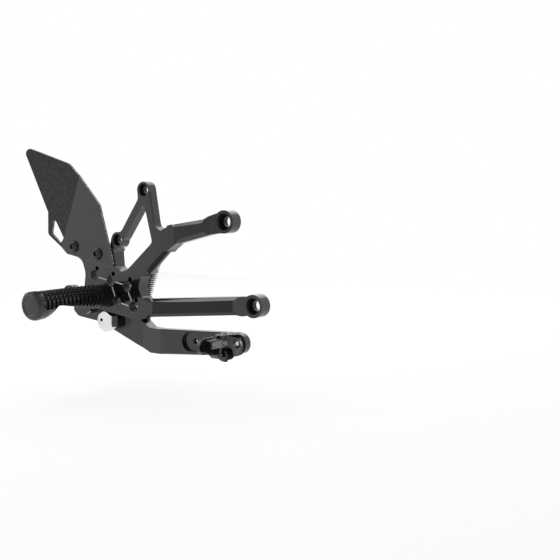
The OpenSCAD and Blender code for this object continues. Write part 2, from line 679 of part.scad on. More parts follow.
lug_low = toe_centre[1] + toe_high + lug_gap;
pin_low = stub_axis[1] - stub_r - 0.6;

module toe_peg_pin() color(silver) {
    translate([toe_pin_axis[0], toe_pin_axis[1], pin_low]) cylinder(r = toe_pin_r, h = lug_low + toe_lug_t + 1 - pin_low);
}

module toe_pin_clip() color(silver) {
    translate([toe_pin_axis[0], toe_pin_axis[1], lug_low + toe_lug_t]) difference() {
        cylinder(r = toe_pin_r + 1.2, h = 0.6);
        translate([0, 0, -1]) cylinder(r = toe_pin_r + 0.01, h = 2);
    }
}

main_bracket();
heel_guard();
guard_screw_rear();
guard_screw_front();
footpeg();
footpeg_bolt();
footpeg_dowel();
pivot_bolt();
pivot_washer_inner();
pivot_washer_outer();
pivot_bush();
brake_lever();
stop_cam();
stop_cam_screw();
spring_post_upper();
spring_post_lower();
return_spring();
toe_mount();
toe_mount_screw();
toe_peg();
toe_peg_pin();
toe_pin_clip();
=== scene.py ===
import math

import bmesh
import bpy
from bpy.props import FloatProperty, FloatVectorProperty, IntProperty, PointerProperty
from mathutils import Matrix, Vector


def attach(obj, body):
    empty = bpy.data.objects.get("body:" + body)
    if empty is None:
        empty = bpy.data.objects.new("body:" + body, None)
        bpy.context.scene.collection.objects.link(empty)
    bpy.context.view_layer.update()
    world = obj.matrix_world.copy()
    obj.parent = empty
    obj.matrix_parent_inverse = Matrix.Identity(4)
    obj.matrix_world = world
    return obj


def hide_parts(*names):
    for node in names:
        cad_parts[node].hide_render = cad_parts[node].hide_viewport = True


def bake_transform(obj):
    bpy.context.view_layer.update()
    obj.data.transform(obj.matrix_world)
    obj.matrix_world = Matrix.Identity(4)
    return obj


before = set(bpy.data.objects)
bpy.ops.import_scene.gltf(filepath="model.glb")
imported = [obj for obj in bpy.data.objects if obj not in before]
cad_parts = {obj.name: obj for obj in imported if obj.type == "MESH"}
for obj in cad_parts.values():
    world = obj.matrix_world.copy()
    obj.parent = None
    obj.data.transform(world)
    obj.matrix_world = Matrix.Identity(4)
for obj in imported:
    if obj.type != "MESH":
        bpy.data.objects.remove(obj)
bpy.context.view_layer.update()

bl_info = {
    "name": "Rear set footrest",
    "version": (1, 0, 0),
    "blender": (4, 5, 0),
    "location": "View3D > Sidebar > Rear Set",
    "description": "Finishes and fine parts for a brake side rear set",
    "category": "Object",
}

MM = 0.001

# Places shared with the part, in millimetres: X forward, Y inwards, Z up
PLATE_FRONT = -12.0
GUARD_FACE = -14.0
GUARD_SCREWS = {"guard_screw_rear": (-196.0, 41.1), "guard_screw_front": (-166.9, 35.7)}
SPRING_TOP = (-111.5, 37.0)
SPRING_LOW = (-131.3, -13.8)
SPRING_Y = 6.0
# Fold pin of the toe peg, as (x, y), and the height that the toe peg is drawn from
TOE_PIN = (-27.6, -11.4)
TOE_HEIGHT = -33.8
# Middle of the round stub below the toe peg, as (x, z), and its face
STUB_CENTRE = (-28.2, -41.3)
STUB_FACE = -15.6
# Solids of the toe peg: an outline of (distance out from the pin, height) and the two sides in X
TOE_ROOT = ((-0.5, -0.3), (-0.5, 5.8), (10.5, 5.8), (10.5, -0.3)), -3.9, 3.9
TOE_BLOCK = ((1.6, 0.4), (22.6, 0.4), (23.4, 1.4), (23.4, 6.4),
             (22.6, 7.4), (10.8, 7.2), (10.4, 5.8), (1.6, 5.8)), -1.6, 4.5
TOE_TONGUE = ((9.0, 1.0), (9.0, 5.8), (10.6, 6.0), (12.0, 8.2), (22.0, 8.6), (26.4, 8.0),
              (29.4, 6.2), (31.2, 3.4), (31.4, 0.4), (30.2, -1.6), (29.4, -0.6), (28.8, 2.2),
              (27.0, 4.8), (24.0, 6.2), (20.5, 5.4), (17.5, 2.6), (15.5, 0.8)), -5.0, -1.8
TOE_STRAND = ((9.2, -7.0), (14.0, -4.4), (19.0, -2.2), (24.0, -1.6), (29.6, -0.4), (30.2, -1.8),
              (27.0, -3.6), (20.0, -4.4), (14.0, -7.4), (11.0, -9.4), (9.2, -9.8)), -5.0, -2.6
TOE_FOOT = ((9.2, -7.2), (14.0, -5.0), (16.0, -5.6), (13.5, -8.2), (11.0, -9.6), (9.2, -10.0)), -5.0, 2.4
# A black sheet inside the hook of the toe peg, painted shade
TOE_SHADE_SHEET = ((9.4, 1.2), (16.0, 1.2), (24.0, 6.6), (29.6, 3.0),
           (30.0, -1.2), (20.0, -3.2), (9.4, -8.2)), -4.4, 1.2
# A thin pale rail along the lower edge of the block, a painted highlight
TOE_HIGHLIGHT_RAIL = ((8.0, 0.3), (23.0, 0.3), (23.0, 0.9), (8.0, 0.9)), 3.9, 4.7
# Knurl of the toe peg: where its flat lies, how far its points stand out and how far apart they are
KNURL_FACE = 4.45
KNURL_OUT = 0.9
KNURL_PITCH = 1.5
# Round holes of the bracket and the lever, as (x, z, radius)
POSITION_HOLES = tuple((-172.7 + 19.44 * i + 6.88 * j, 16.2 - 3.78 * i - 17.92 * j, 4.4)
                       for j in range(2) for i in range(3))
BOSS_HOLES = ((0.0, 0.0, 7.0), (-28.9, 67.0, 7.0), (-145.6, 48.5, 5.4), (-114.7, 92.3, 5.4))
SPARE_HOLE = (-68.6, -35.6, 2.7)
# Short engraved lines between the footpeg's position holes, as pairs of (x, z)
POSITION_LINES = (
    ((-167.2, 14.7), (-158.5, 12.9)),
    ((-147.5, 11.5), (-139.5, 10.1)),
    ((-151.4, 6.8), (-148.4, -0.7)),
    ((-132.5, 3.6), (-129.1, -3.5)),
    ((-140.8, -6.8), (-133.1, -8.4)),
)

# Stage, in metres and degrees
CAMERA_PLACE = (0.4822, -0.6819, 0.1024)
CAMERA_AZIMUTH = 34.193
CAMERA_ELEVATION = 5.601
KEY_PLACE = (-0.66, -0.12, 0.86)
REAR_PLACE = (-0.3, 0.82, 0.58)
LAMP_AIM = (-0.1, 0.0, 0.03)
FLOOR_HALF = 0.9
FLOOR_GLOW = 1.28
FLOOR_GLOW_SHARE = 0.6
# X over Y of the directions where the mirrored white card starts and where it is at its full strength
CARD_LEAN = (0.7265, 0.966)

# Colours of the painted highlight along sharp edges, which is partly edge wear; the bright one also colours
# the engraved lines
PALE_EDGE_HIGHLIGHT_AND_WEAR = (0.55, 0.55, 0.56)
BRIGHT_EDGE_HIGHLIGHT_AND_MARK = (0.95, 0.95, 0.95)
CARBON_EDGE_HIGHLIGHT_AND_WEAR = (0.75, 0.75, 0.76)


class RearSetFinish(bpy.types.PropertyGroup):
    """Colours and surface values of the finishes"""

    anodised: FloatVectorProperty(
        name="Anodised Black", description="Base colour of the machined black parts",
        default=(0.006, 0.006, 0.0062), size=3, min=0.0, max=1.0, subtype="COLOR")
    anodised_rough: FloatProperty(
        name="Anodised Roughness", description="Roughness of the machined black parts",
        default=0.09, min=0.0, max=1.0, subtype="FACTOR")
    # Width of the painted edge highlight, which is partly wear
    edge_highlight_and_wear_radius: FloatProperty(
        name="Edge Width", description="Width of the pale line along sharp edges",
        default=0.00028, min=0.0, max=0.002, unit="LENGTH")
    carbon: FloatVectorProperty(
        name="Carbon", description="Base colour of the heel guard",
        default=(0.022, 0.022, 0.0226), size=3, min=0.0, max=1.0, subtype="COLOR")
    weave_pitch: FloatProperty(
        name="Weave Pitch", description="Width of one tow of the guard's weave",
        default=0.0008, min=0.0005, max=0.005, unit="LENGTH")
    bare_metal: FloatVectorProperty(
        name="Bare Metal", description="Colour of the turned aluminium parts",
        default=(0.86, 0.865, 0.87), size=3, min=0.0, max=1.0, subtype="COLOR")


class RearSetDetail(bpy.types.PropertyGroup):
    """Sizes of the fine parts"""

    wire_radius: FloatProperty(
        name="Wire Radius", description="Radius of the return spring's wire",
        default=0.00063, min=0.0004, max=0.0012, unit="LENGTH")
    coil_radius: FloatProperty(
        name="Coil Radius", description="Mean radius of the return spring's coils",
        default=0.0032, min=0.002, max=0.005, unit="LENGTH")
    coil_turns: IntProperty(
        name="Coil Turns", description="Number of turns of the return spring",
        default=22, min=5, max=26)
    line_width: FloatProperty(
        name="Line Width", description="Width of the engraved lines between the position holes",
        default=0.0011, min=0.0003, max=0.003, unit="LENGTH")
    star_radius: FloatProperty(
        name="Star Socket Radius", description="Mean radius of the star sockets in the guard's screws",
        default=0.0022, min=0.001, max=0.003, unit="LENGTH")


class RearSetStudio(bpy.types.PropertyGroup):
    """Floor, light and camera"""

    floor_height: FloatProperty(
        name="Floor Height", description="Height of the floor", default=-0.085, unit="LENGTH")
    sky: FloatProperty(
        name="Sky Strength", description="Strength of the even light from all around",
        default=0.35, min=0.0, max=2.0)
    card: FloatProperty(
        name="Card Strength", description="Strength of the white card mirrored on the left",
        default=1.15, min=0.0, max=3.0)
    room: FloatProperty(
        name="Room Strength", description="Strength of the room mirrored in front of the part",
        default=0.6, min=0.0, max=3.0)
    key: FloatProperty(
        name="Key Power", description="Power of the large lamp overhead",
        default=4.0, min=0.0, max=100.0, unit="POWER")
    rear: FloatProperty(
        name="Rear Power", description="Power of the lamp behind the part",
        default=2.0, min=0.0, max=100.0, unit="POWER")
    focal: FloatProperty(
        name="Focal Length", description="Focal length on a 36 mm sensor, in millimetres",
        default=66.857, min=20.0, max=200.0)


# Shared node and mesh helpers

def node_of(tree, kind, values=None, **attributes):
    node = tree.nodes.new(kind)
    for name, value in attributes.items():
        setattr(node, name, value)
    for key, value in (values or {}).items():
        node.inputs[key].default_value = value
    return node


def math_node(tree, operation, a, b=None, c=None, clamp=False):
    node = node_of(tree, "ShaderNodeMath", operation=operation, use_clamp=clamp)
    for i, value in enumerate((a, b, c)):
        if value is None:
            continue
        if isinstance(value, (int, float)):
            node.inputs[i].default_value = value
        else:
            tree.links.new(value, node.inputs[i])
    return node.outputs[0]


def mix_color(tree, factor, a, b):
    node = node_of(tree, "ShaderNodeMix", data_type="RGBA")
    for socket, value in ((node.inputs[0], factor), (node.inputs[6], a), (node.inputs[7], b)):
        if isinstance(value, bpy.types.NodeSocket):
            tree.links.new(value, socket)
        elif isinstance(value, (int, float)):
            socket.default_value = value
        else:
            socket.default_value = (*value, 1.0)
    return node.outputs[2]


def new_group(name, inputs, outputs):
    group = bpy.data.node_groups.new(name, "ShaderNodeTree")
    for label, default in inputs:
        socket = group.interface.new_socket(label, in_out="INPUT", socket_type="NodeSocketFloat")
        socket.default_value = default
    for label, kind in outputs:
        group.interface.new_socket(label, in_out="OUTPUT", socket_type=kind)
    start = group.nodes.new("NodeGroupInput")
    end = group.nodes.new("NodeGroupOutput")
    return group, start, end


def edge_highlight_and_wear_group():
    """Mask of the painted highlight along sharp edges, which is partly edge wear: 1 on sharp edges, broken
    up a little by noise
    """
    group, start, end = new_group(
        "Edge Highlight And Wear", (("Radius", 0.0004), ("Breakup", 0.4)), (("Mask", "NodeSocketFloat"),))
    bevel = node_of(group, "ShaderNodeBevel", samples=6)
    group.links.new(start.outputs["Radius"], bevel.inputs["Radius"])
    geometry = group.nodes.new("ShaderNodeNewGeometry")
    dot = node_of(group, "ShaderNodeVectorMath", operation="DOT_PRODUCT")
    group.links.new(bevel.outputs[0], dot.inputs[0])
    group.links.new(geometry.outputs["Normal"], dot.inputs[1])
    turned = math_node(group, "SUBTRACT", 1.0, dot.outputs["Value"])
    sharp = math_node(group, "MULTIPLY", turned, 9.0, clamp=True)
    coords = group.nodes.new("ShaderNodeTexCoord")
    noise = node_of(group, "ShaderNodeTexNoise", {"Scale": 900.0, "Detail": 3.0})
    group.links.new(coords.outputs["Object"], noise.inputs["Vector"])
    chips = math_node(group, "MULTIPLY_ADD", noise.outputs[0], 1.8, -0.4, clamp=True)
    keep = math_node(group, "MULTIPLY", chips, start.outputs["Breakup"])
    solid = math_node(group, "SUBTRACT", 1.0, start.outputs["Breakup"])
    mask = math_node(group, "MULTIPLY", sharp, math_node(group, "ADD", keep, solid))
    group.links.new(mask, end.inputs["Mask"])
    return group


def blast_grain_group():
    """Fine bead blasted grain: a value for roughness and colour, and a height"""
    group, start, end = new_group(
        "Blast Grain", (("Scale", 2600.0),),
        (("Value", "NodeSocketFloat"), ("Height", "NodeSocketFloat")))
    coords = group.nodes.new("ShaderNodeTexCoord")
    fine = node_of(group, "ShaderNodeTexNoise", {"Detail": 4.0, "Roughness": 0.65})
    group.links.new(coords.outputs["Object"], fine.inputs["Vector"])
    group.links.new(start.outputs["Scale"], fine.inputs["Scale"])
    broad = node_of(group, "ShaderNodeTexNoise", {"Scale": 35.0, "Detail": 3.0})
    group.links.new(coords.outputs["Object"], broad.inputs["Vector"])
    fine_part = math_node(group, "MULTIPLY", fine.outputs[0], 0.4)
    mixed = math_node(group, "MULTIPLY_ADD", broad.outputs[0], 0.6, fine_part)
    group.links.new(mixed, end.inputs["Value"])
    group.links.new(fine.outputs[0], end.inputs["Height"])
    return group


def twill_group():
    """Two by two twill weave in the plane of X and Z: a sheen value and a height"""
    group, start, end = new_group(
        "Twill Weave", (("Pitch", 0.0011), ("Turn", 0.6)),
        (("Sheen", "NodeSocketFloat"), ("Height", "NodeSocketFloat")))
    coords = group.nodes.new("ShaderNodeTexCoord")
    parts = group.nodes.new("ShaderNodeSeparateXYZ")
    group.links.new(coords.outputs["Object"], parts.inputs[0])
    cosine = math_node(group, "COSINE", start.outputs["Turn"])
    sine = math_node(group, "SINE", start.outputs["Turn"])
    along = math_node(group, "ADD", math_node(group, "MULTIPLY", parts.outputs["X"], cosine),
                      math_node(group, "MULTIPLY", parts.outputs["Z"], sine))
    across = math_node(group, "SUBTRACT", math_node(group, "MULTIPLY", parts.outputs["Z"], cosine),
                       math_node(group, "MULTIPLY", parts.outputs["X"], sine))
    u = math_node(group, "DIVIDE", along, start.outputs["Pitch"])
    v = math_node(group, "DIVIDE", across, start.outputs["Pitch"])
    column = math_node(group, "FLOOR", u)
    row = math_node(group, "FLOOR", v)
    step = math_node(group, "FLOORED_MODULO", math_node(group, "ADD", column, row), 4.0)
    warp = math_node(group, "LESS_THAN", step, 1.5)
    half_turn_u = math_node(group, "MULTIPLY", math_node(group, "FRACT", u), math.pi)
    half_turn_v = math_node(group, "MULTIPLY", math_node(group, "FRACT", v), math.pi)
    round_u = math_node(group, "SINE", half_turn_u)
    round_v = math_node(group, "SINE", half_turn_v)
    weft = math_node(group, "SUBTRACT", 1.0, warp)
    height = math_node(group, "ADD", math_node(group, "MULTIPLY", round_u, warp),
                       math_node(group, "MULTIPLY", round_v, weft))
    noise = node_of(group, "ShaderNodeTexNoise", {"Scale": 1500.0, "Detail": 2.0})
    group.links.new(coords.outputs["Object"], noise.inputs["Vector"])
    sheen = math_node(group, "ADD", math_node(group, "MULTIPLY", warp, 0.55),
                      math_node(group, "MULTIPLY", noise.outputs[0], 0.45))
    group.links.new(sheen, end.inputs["Sheen"])
    group.links.new(height, end.inputs["Height"])
    return group


def turning_group():
    """Fine turning marks across Y: a value for roughness and a height"""
    group, start, end = new_group(
        "Turning Marks", (("Scale", 1800.0),),
        (("Value", "NodeSocketFloat"), ("Height", "NodeSocketFloat")))
    coords = group.nodes.new("ShaderNodeTexCoord")
    stretch = node_of(group, "ShaderNodeMapping")
    stretch.inputs["Scale"].default_value = (0.12, 1.0, 0.12)
    group.links.new(coords.outputs["Object"], stretch.inputs["Vector"])
    noise = node_of(group, "ShaderNodeTexNoise", {"Detail": 3.0, "Roughness": 0.6})
    group.links.new(stretch.outputs[0], noise.inputs["Vector"])
    group.links.new(start.outputs["Scale"], noise.inputs["Scale"])
    group.links.new(noise.outputs[0], end.inputs["Value"])
    group.links.new(noise.outputs[0], end.inputs["Height"])
    return group


def painted_gap_shade_group():
    """Mask for painted shade, from ambient occlusion, that falls to 0 in narrow gaps"""
    group, start, end = new_group("Painted Gap Shade", (("Distance", 0.001),), (("Open", "NodeSocketFloat"),))
    shade = node_of(group, "ShaderNodeAmbientOcclusion", samples=8)
    group.links.new(start.outputs["Distance"], shade.inputs["Distance"])
    open_part = math_node(group, "MULTIPLY_ADD", shade.outputs["AO"], 5.0, -3.0, clamp=True)
    group.links.new(open_part, end.inputs["Open"])
    return group


GROUP_MAKERS = {
    "Edge Highlight And Wear": edge_highlight_and_wear_group,
    "Blast Grain": blast_grain_group,
    "Twill Weave": twill_group,
    "Turning Marks": turning_group,
    "Painted Gap Shade": painted_gap_shade_group,
}


def use_group(tree, name, **values):
    group = bpy.data.node_groups.get(name) or GROUP_MAKERS[name]()
    node = node_of(tree, "ShaderNodeGroup", node_tree=group)
    for key, value in values.items():
        node.inputs[key].default_value = value
    return node


def new_material(name, **shader):
    material = bpy.data.materials.new(name)
    material.use_nodes = True
    tree = material.node_tree
    surface = next(n for n in tree.nodes if n.type == "BSDF_PRINCIPLED")
    for key, value in shader.items():
        surface.inputs[key.replace("_", " ")].default_value = value
    return material, tree, surface


def add_bump(tree, surface, height, distance, strength=1.0):
    bump = node_of(tree, "ShaderNodeBump", {"Strength": strength, "Distance": distance})
    tree.links.new(height, bump.inputs["Height"])
    tree.links.new(bump.outputs[0], surface.inputs["Normal"])


def rough_from(tree, surface, value, middle, spread):
    """Roughness that follows a value of 0 to 1 about its middle"""
    rough = math_node(tree, "MULTIPLY_ADD", value, spread, middle - spread / 2, clamp=True)
    tree.links.new(rough, surface.inputs["Roughness"])


def mix_edges(tree, line, amount, base, color):
    """Colour with the painted edge highlight, which is partly wear, laid over it along the edge line's mask
    """
    return mix_color(tree, math_node(tree, "MULTIPLY", line.outputs["Mask"], amount), base, color)


def scaled(color, factor):
    return tuple(part * factor for part in color)


def anodised_black(name, finish, edge=0.07, rough=None, color=None, ior=1.6):
    """Satin black anodised aluminium with a fine grain and slightly paler sharp edges, a painted highlight
    that is partly wear
    """
    material, tree, surface = new_material(name, IOR=ior)
    rough = finish.anodised_rough if rough is None else rough
    color = tuple(finish.anodised) if color is None else color
    grain = use_group(tree, "Blast Grain", Scale=2600.0)
    line = use_group(tree, "Edge Highlight And Wear", Radius=finish.edge_highlight_and_wear_radius, Breakup=0.35)
    base = mix_color(tree, grain.outputs["Value"], color, scaled(color, 1.5))
    base = mix_edges(tree, line, edge, base, PALE_EDGE_HIGHLIGHT_AND_WEAR)
    tree.links.new(base, surface.inputs["Base Color"])
    rough_from(tree, surface, grain.outputs["Value"], rough, 0.05)
    add_bump(tree, surface, grain.outputs["Height"], 0.000003, 0.12)
    return material


def bare_metal(name, color, rough, metallic=1.0):
    """Bare turned or drawn metal with fine marks and bright edges, a painted highlight"""
    material, tree, surface = new_material(name, Metallic=metallic)
    turning = use_group(tree, "Turning Marks", Scale=1800.0)
    line = use_group(tree, "Edge Highlight And Wear", Radius=0.0003, Breakup=0.2)
    base = mix_color(tree, turning.outputs["Value"], scaled(color, 0.86), color)
    base = mix_edges(tree, line, 0.3, base, BRIGHT_EDGE_HIGHLIGHT_AND_MARK)
    tree.links.new(base, surface.inputs["Base Color"])
    rough_from(tree, surface, turning.outputs["Value"], rough, 0.12)
    add_bump(tree, surface, turning.outputs["Height"], 0.000006, 0.3)
    return material


def wound_wire(name):
    """Drawn spring wire, dark where neighbouring turns face each other: a painted shade"""
    material, tree, surface = new_material(name, Metallic=0.9)
    turning = use_group(tree, "Turning Marks", Scale=900.0)
    # Painted shade between the turns and inside the coil
    coil_shade = use_group(tree, "Painted Gap Shade", Distance=0.005)
    base = mix_color(tree, coil_shade.outputs["Open"], (0.01, 0.01, 0.01), (1.0, 1.0, 1.0))
    tree.links.new(base, surface.inputs["Base Color"])
    rough_from(tree, surface, turning.outputs["Value"], 0.3, 0.1)
    return material


def woven_carbon(name, finish):
    """Satin clear coat over a fine carbon twill, with a painted highlight along its edges"""
    material, tree, surface = new_material(name, IOR=1.62)
    weave = use_group(tree, "Twill Weave", Pitch=finish.weave_pitch, Turn=0.55)
    line = use_group(tree, "Edge Highlight And Wear", Radius=0.0004, Breakup=0.2)
    color = tuple(finish.carbon)
    base = mix_color(tree, weave.outputs["Sheen"], scaled(color, 0.8), scaled(color, 1.2))
    base = mix_edges(tree, line, 0.5, base, CARBON_EDGE_HIGHLIGHT_AND_WEAR)
    tree.links.new(base, surface.inputs["Base Color"])
    rough_from(tree, surface, weave.outputs["Sheen"], 0.32, 0.08)
    add_bump(tree, surface, weave.outputs["Height"], 0.00001, 0.07)
    return material


def dimpled_carbon(name, finish):
    """The thicker, dimpled coat on the folded half of the guard, with a painted highlight along its edges
    """
    material, tree, surface = new_material(name, IOR=1.5)
    line = use_group(tree, "Edge Highlight And Wear", Radius=0.0004, Breakup=0.2)
    coords = tree.nodes.new("ShaderNodeTexCoord")
    peel = node_of(tree, "ShaderNodeTexNoise", {"Scale": 420.0, "Detail": 1.5, "Roughness": 0.5})
    tree.links.new(coords.outputs["Object"], peel.inputs["Vector"])
    color = tuple(finish.carbon)
    patch = math_node(tree, "MULTIPLY_ADD", peel.outputs[0], 3.0, -1.0, clamp=True)
    base = mix_color(tree, patch, scaled(color, 0.4), scaled(color, 1.9))
    base = mix_edges(tree, line, 0.35, base, CARBON_EDGE_HIGHLIGHT_AND_WEAR)
    tree.links.new(base, surface.inputs["Base Color"])
    surface.inputs["Roughness"].default_value = 0.34
    add_bump(tree, surface, peel.outputs[0], 0.0003, 0.8)
    return material


def cut_carbon(name):
    """Sawn edge of the guard, pale and dotted where the fibres end"""
    material, tree, surface = new_material(name, Roughness=0.55)
    coords = tree.nodes.new("ShaderNodeTexCoord")
    dots = node_of(tree, "ShaderNodeTexNoise", {"Scale": 520.0, "Detail": 2.0, "Roughness": 0.6})
    tree.links.new(coords.outputs["Object"], dots.inputs["Vector"])
    mask = math_node(tree, "MULTIPLY_ADD", dots.outputs[0], 4.0, -1.5, clamp=True)
    base = mix_color(tree, mask, (0.04, 0.04, 0.041), (0.72, 0.72, 0.73))
    tree.links.new(base, surface.inputs["Base Color"])
    return material


def painted_shade_black(name, ior=1.35):
    """Dull black painted shade, for the walls inside holes and for sides that fall in shade"""
    material, tree, surface = new_material(name, IOR=ior)
    grain = use_group(tree, "Blast Grain", Scale=2200.0)
    base = mix_color(tree, grain.outputs["Value"], (0.004, 0.004, 0.004), (0.012, 0.012, 0.012))
    tree.links.new(base, surface.inputs["Base Color"])
    rough_from(tree, surface, grain.outputs["Value"], 0.4, 0.1)
    return material


def mark_paint(name):
    """Pale laser engraved line"""
    material, tree, surface = new_material(name, Roughness=0.55)
    grain = use_group(tree, "Blast Grain", Scale=3800.0)
    base = mix_color(tree, grain.outputs["Value"], (0.62, 0.62, 0.63), BRIGHT_EDGE_HIGHLIGHT_AND_MARK)
    tree.links.new(base, surface.inputs["Base Color"])
    return material


def shade_by_angle(mesh, degrees=28.0):
    mesh.polygons.foreach_set("use_smooth", [True] * len(mesh.polygons))
    mesh.set_sharp_from_angle(angle=math.radians(degrees))


def dress(names, material):
    """Gives carried-over parts a finish and shades their round faces smoothly"""
    for name in names:
        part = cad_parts[name]
        part.data.materials.clear()
        part.data.materials.append(material)
        shade_by_angle(part.data)


def shade_faces(name, material, chosen):
    """Gives the faces picked by centre, in millimetres, and normal a finish of their own, which here paints
    shade or light on them
    """
    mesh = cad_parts[name].data
    mesh.materials.append(material)
    for face in mesh.polygons:
        if chosen(face.center / MM, face.normal):
            face.material_index = len(mesh.materials) - 1


def line_holes(name, holes, material):
    """Gives the walls of round holes along Y a finish of their own, here the painted shade of their insides
    """
    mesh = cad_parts[name].data
    mesh.materials.append(material)
    index = len(mesh.materials) - 1
    for face in mesh.polygons:
        if abs(face.normal.y) > 0.3:
            continue
        x, z = face.center.x / MM, face.center.z / MM
        if any(math.hypot(x - hole[0], z - hole[1]) < hole[2] for hole in holes):
            face.material_index = index


def make_piece(name, body, material, builder):
    mesh = bpy.data.meshes.new(name)
    bm = bmesh.new()
    builder(bm)
    bmesh.ops.remove_doubles(bm, verts=bm.verts, dist=1e-7)
    bmesh.ops.recalc_face_normals(bm, faces=bm.faces)
    bm.to_mesh(mesh)
    bm.free()
    shade_by_angle(mesh)
    mesh.materials.append(material)
    piece = bpy.data.objects.new(name, mesh)
    bpy.context.scene.collection.objects.link(piece)
    if body:
        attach(piece, body)
    return piece


def circle(x, z, radius, y, sides, lobes=0.0):
    """Ring of points round an axis along Y, in millimetres, with six lobes if wished"""
    points = []
    for k in range(sides):
        a = 2 * math.pi * k / sides
        r = radius * (1 + lobes * math.cos(6 * a))
        points.append(Vector((x + r * math.cos(a), y, z + r * math.sin(a))) * MM)
    return points


def loft(bm, rings, close_start=True, close_end=True):
    """Skins a list of closed rings of points"""
    made = [[bm.verts.new(p) for p in ring] for ring in rings]
    count = len(made[0])
    for low, high in zip(made, made[1:]):
        for i in range(count):
            j = (i + 1) % count
            bm.faces.new((low[i], low[j], high[j], high[i]))
    if close_start:
        bm.faces.new(tuple(reversed(made[0])))
    if close_end:
        bm.faces.new(tuple(made[-1]))


def tube(bm, path, radius, sides=14):
    """Round tube along a path, its rings turned as little as possible"""
    rings = []
    across = None
    for i, point in enumerate(path):
        ahead = (path[min(i + 1, len(path) - 1)] - path[max(i - 1, 0)]).normalized()
        if across is None:
            across = ahead.orthogonal()
        across = (across - ahead * across.dot(ahead)).normalized()
        side = ahead.cross(across)
        rings.append([point + radius * (across * math.cos(a) + side * math.sin(a))
                      for a in (2 * math.pi * k / sides for k in range(sides))])
    loft(bm, rings)


def strip(bm, start, end, width, front, depth):
    """Thin round-ended bar on the plate's face, from start to end as (x, z) in millimetres"""
    a, b = Vector(start), Vector(end)
    along = (b - a).normalized()
    side = Vector((-along.y, along.x))
    outline = []
    for centre, base in ((b, -90.0), (a, 90.0)):
        for step in range(9):
            angle = math.radians(base + step * 22.5)
            outline.append(centre + width / 2 * (along * math.cos(angle) + side * math.sin(angle)))
    loft(bm, [[Vector((p.x, y, p.y)) * MM for p in outline] for y in (front, front + depth)])


def toe_point(x, out, height):
    """Point of the toe peg from its place along X, out from the pin and above the peg's zero"""
    return Vector((TOE_PIN[0] + x, TOE_PIN[1] - out, TOE_HEIGHT + height)) * MM


def prism(bm, outline, x0, x1, inset=0.0):
    """Solid of the toe peg between two sides, each drawn in a little over its last 0.4 mm"""
    middle = sum(p[0] for p in outline) / len(outline), sum(p[1] for p in outline) / len(outline)
    edge = 0.4

    def ring(x, scale):
        return [toe_point(x, middle[0] + (out - middle[0]) * scale,
                          middle[1] + (height - middle[1]) * scale) for out, height in outline]

    small = 1.0 - inset
    loft(bm, [ring(x0, small), ring(x0 + edge, 1.0), ring(x1 - edge, 1.0), ring(x1, small)])


def pyramids(bm, start, columns, rows):
    """Grid of low pyramids on a side of the toe peg's block, from (distance out, height)"""
    for i in range(columns):
        for j in range(rows):
            if (i + j) % 2:
                continue
            out, height = start[0] + i * KNURL_PITCH, start[1] + j * KNURL_PITCH
            corners = ((out - KNURL_PITCH, height), (out, height - KNURL_PITCH),
                       (out + KNURL_PITCH, height), (out, height + KNURL_PITCH))
            base = [bm.verts.new(toe_point(KNURL_FACE, a, b)) for a, b in corners]
            tip = bm.verts.new(toe_point(KNURL_FACE + KNURL_OUT, out, height))
            for k in range(4):
                bm.faces.new((base[k], base[(k + 1) % 4], tip))
            bm.faces.new(base)


# Faces with a finish of their own, which paints shade or light on them, told by their centre, in
# millimetres, and their normal

def lower_bevel(centre, normal):
    """Bevels below the arms and along the lower edge of the bracket's spine, darkened by a lower
    reflectance as painted shade
    """
    return normal.z < -0.25 and normal.y < -0.25 and (centre.z < 0 or -130 < centre.x < -82)


def upper_bevel(centre, normal):
    """Bevel along the top of the upper arm, which gets a paler, duller black, painted light in place of its
    dark reflection
    """
    return centre.z > 50 and normal.z > 0.5 and normal.y < -0.5


def lower_arm_face(centre, normal):
    """Face of the lower arm, which leans back a little, darkened by a lower reflectance as painted shade"""
    return centre.z < 20 and normal.y < -0.99 and normal.x > 0.004


def mount_flank(centre, normal):
    """Sides of the toe mount that look forward, and the side of its stub, which get a dull black painted
    shade
    """
    return abs(normal.y) < 0.5 and (normal.x > 0.2 or (centre.y < -7.5 and centre.z < -34))


def stub_front(centre, normal):
    """Face and rim of the toe mount's stub, which get a black finish, a painted shade"""
    return centre.y < -13 and normal.y < -0.3


def behind_head_face(centre, normal):
    """Socket and sides of the stop's screw, all but the front of its head, which get painted shade"""
    return centre.y > -11.7


# Pieces

